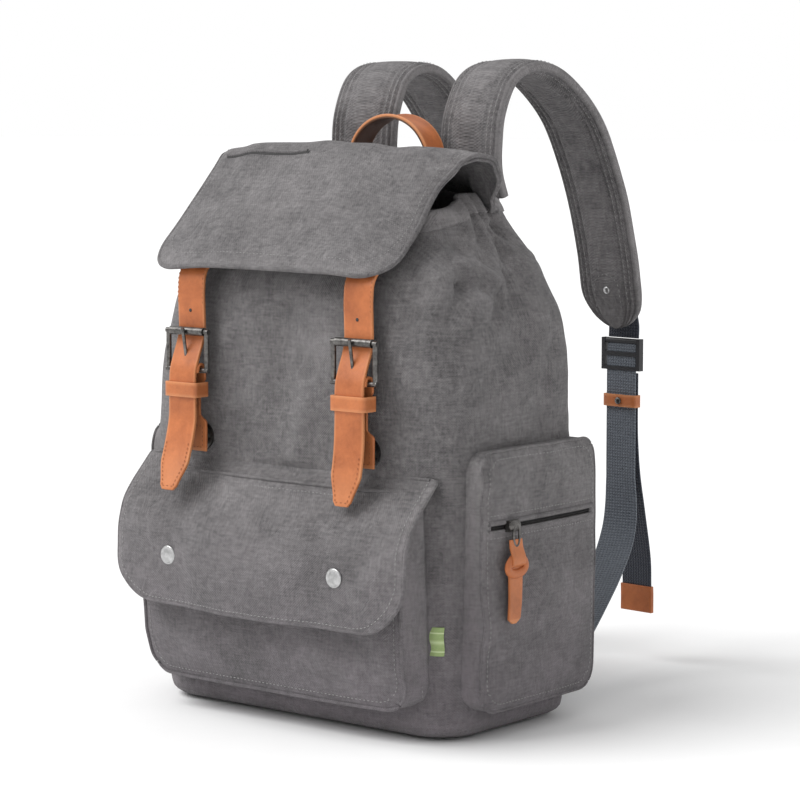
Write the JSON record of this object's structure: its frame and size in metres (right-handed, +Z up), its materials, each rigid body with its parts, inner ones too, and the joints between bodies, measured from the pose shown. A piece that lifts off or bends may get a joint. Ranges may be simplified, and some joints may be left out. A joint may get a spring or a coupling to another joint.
{
  "type": "travel backpack",
  "caption": "Canvas rucksack with a buckled leather-strapped top flap, snap-down front pocket, zipped side pockets and padded shoulder straps.",
  "frame": {"origin": "middle of the base's underside", "axes": "+Z up, -Y the front with the buckled straps, +X the side on the right seen from the front"},
  "size_m": [0.3468, 0.4059, 0.494],
  "materials": {
    "canvas": "washed heavy cotton canvas",
    "lining_cloth": "plain lining cloth",
    "board": "stiff plastic board",
    "foam": "closed-cell foam",
    "leather": "vegetable-tanned, oiled",
    "gunmetal": "dark antique plate",
    "snap_metal": "nickel plate",
    "webbing": "woven webbing",
    "black_plastic": "moulded acetal",
    "tab_cloth": "woven ribbon"
  },
  "bodies": {
    "root": {"base_panel": "canvas", "front_panel": "canvas", "back_panel": "canvas", "side_panel_left": "canvas", "side_panel_right": "canvas", "lining": "lining_cloth", "base_stiffener": "board", "back_pad": "canvas", "laptop_sleeve": "lining_cloth", "mouth_hem": "canvas", "mouth_eyelets": "snap_metal", "front_pocket_body": "canvas", "pocket_flap_band": "canvas", "pocket_studs": "snap_metal", "front_magnets": "snap_metal", "side_pocket_left": "canvas", "side_pocket_right": "canvas", "side_zip_left": "gunmetal", "side_zip_right": "gunmetal", "care_tab": "tab_cloth", "strap_anchors": "canvas", "flap_yoke": "canvas", "webbing_lower_left": "webbing", "webbing_lower_right": "webbing"},
    "top_flap": {"top_flap": "canvas", "flap_lining": "lining_cloth", "flap_zip": "gunmetal", "flap_strap_left": "leather", "flap_strap_right": "leather", "buckle_frame_left": "gunmetal", "buckle_frame_right": "gunmetal", "buckle_chape_left": "leather", "buckle_chape_right": "leather", "snap_sockets": "snap_metal"},
    "pocket_flap": {"pocket_flap": "canvas", "snap_caps": "snap_metal"},
    "carry_handle": {"carry_handle": "leather"},
    "strap_keeper_left": {"strap_keeper_left": "leather"},
    "buckle_prong_left": {"buckle_prong_left": "gunmetal"},
    "buckle_roller_left": {"buckle_roller_left": "gunmetal"},
    "zip_slider_left": {"zip_slider_left": "gunmetal"},
    "zip_pull_left": {"zip_pull_left": "leather"},
    "shoulder_strap_left": {"shoulder_strap_left": "canvas", "strap_foam_left": "foam", "strap_webbing_left": "webbing", "webbing_tip_left": "leather"},
    "ladder_lock_left": {"ladder_lock_left": "black_plastic"},
    "webbing_keeper_left": {"webbing_keeper_left": "leather"},
    "strap_keeper_right": {"strap_keeper_right": "leather"},
    "buckle_prong_right": {"buckle_prong_right": "gunmetal"},
    "buckle_roller_right": {"buckle_roller_right": "gunmetal"},
    "zip_slider_right": {"zip_slider_right": "gunmetal"},
    "zip_pull_right": {"zip_pull_right": "leather"},
    "shoulder_strap_right": {"shoulder_strap_right": "canvas", "strap_foam_right": "foam", "strap_webbing_right": "webbing", "webbing_tip_right": "leather"},
    "ladder_lock_right": {"ladder_lock_right": "black_plastic"},
    "webbing_keeper_right": {"webbing_keeper_right": "leather"}
  },
  "joints": [
    {"name": "flap_open", "type": "hinge", "parent": "root", "child": "top_flap", "pos_m": [0, 0.012, 0.424], "axis": [-1, 0, 0], "range_deg": [0, 125]},
    {"name": "pocket_flap_open", "type": "hinge", "parent": "root", "child": "pocket_flap", "pos_m": [0, -0.1145, 0.1595], "axis": [-1, 0, 0], "range_deg": [0, 95]},
    {"name": "handle_fold", "type": "hinge", "parent": "root", "child": "carry_handle", "pos_m": [0, 0.045, 0.414], "axis": [-1, 0, 0], "range_deg": [-30, 0]},
    {"name": "buckle_roller_left_spin", "type": "hinge", "parent": "top_flap", "child": "buckle_roller_left", "pos_m": [-0.082, -0.103, 0.2905], "axis": [1, 0, 0], "continuous": true},
    {"name": "buckle_prong_left_lift", "type": "hinge", "parent": "top_flap", "child": "buckle_prong_left", "pos_m": [-0.082, -0.103, 0.2615], "axis": [1, 0, 0], "range_deg": [0, 12]},
    {"name": "strap_keeper_left_slide", "type": "slide", "parent": "top_flap", "child": "strap_keeper_left", "axis": [0, 0, 1], "range_m": [-0.018, 0]},
    {"name": "zip_slider_left_slide", "type": "slide", "parent": "root", "child": "zip_slider_left", "axis": [0, 1, 0], "range_m": [-0.012, 0.096]},
    {"name": "zip_pull_left_swing", "type": "hinge", "parent": "zip_slider_left", "child": "zip_pull_left", "pos_m": [-0.1722, -0.029, 0.158], "axis": [0, 1, 0], "range_deg": [0, 80]},
    {"name": "shoulder_strap_left_swing", "type": "hinge", "parent": "root", "child": "shoulder_strap_left", "pos_m": [-0.054, 0.078, 0.39], "axis": [-0.9962, -0.0872, 0], "range_deg": [-6, 10], "deforming": ["webbing_lower_left"]},
    {"name": "ladder_lock_left_tilt", "type": "hinge", "parent": "shoulder_strap_left", "child": "ladder_lock_left", "pos_m": [-0.06925, 0.25233, 0.268], "axis": [0.9962, 0.0872, 0], "range_deg": [0, 25]},
    {"name": "webbing_keeper_left_slide", "type": "slide", "parent": "shoulder_strap_left", "child": "webbing_keeper_left", "axis": [0, 0, 1], "range_m": [-0.02, 0.004]},
    {"name": "buckle_roller_right_spin", "type": "hinge", "parent": "top_flap", "child": "buckle_roller_right", "pos_m": [0.082, -0.103, 0.2905], "axis": [1, 0, 0], "continuous": true},
    {"name": "buckle_prong_right_lift", "type": "hinge", "parent": "top_flap", "child": "buckle_prong_right", "pos_m": [0.082, -0.103, 0.2615], "axis": [1, 0, 0], "range_deg": [0, 12]},
    {"name": "strap_keeper_right_slide", "type": "slide", "parent": "top_flap", "child": "strap_keeper_right", "axis": [0, 0, 1], "range_m": [-0.018, 0]},
    {"name": "zip_slider_right_slide", "type": "slide", "parent": "root", "child": "zip_slider_right", "axis": [0, 1, 0], "range_m": [-0.012, 0.096]},
    {"name": "zip_pull_right_swing", "type": "hinge", "parent": "zip_slider_right", "child": "zip_pull_right", "pos_m": [0.1722, -0.029, 0.158], "axis": [0, -1, 0], "range_deg": [0, 80]},
    {"name": "shoulder_strap_right_swing", "type": "hinge", "parent": "root", "child": "shoulder_strap_right", "pos_m": [0.054, 0.078, 0.39], "axis": [-0.9962, 0.0872, 0], "range_deg": [-6, 10], "deforming": ["webbing_lower_right"]},
    {"name": "ladder_lock_right_tilt", "type": "hinge", "parent": "shoulder_strap_right", "child": "ladder_lock_right", "pos_m": [0.06925, 0.25233, 0.268], "axis": [0.9962, -0.0872, 0], "range_deg": [0, 25]},
    {"name": "webbing_keeper_right_slide", "type": "slide", "parent": "shoulder_strap_right", "child": "webbing_keeper_right", "axis": [0, 0, 1], "range_m": [-0.02, 0.004]}
  ]
}
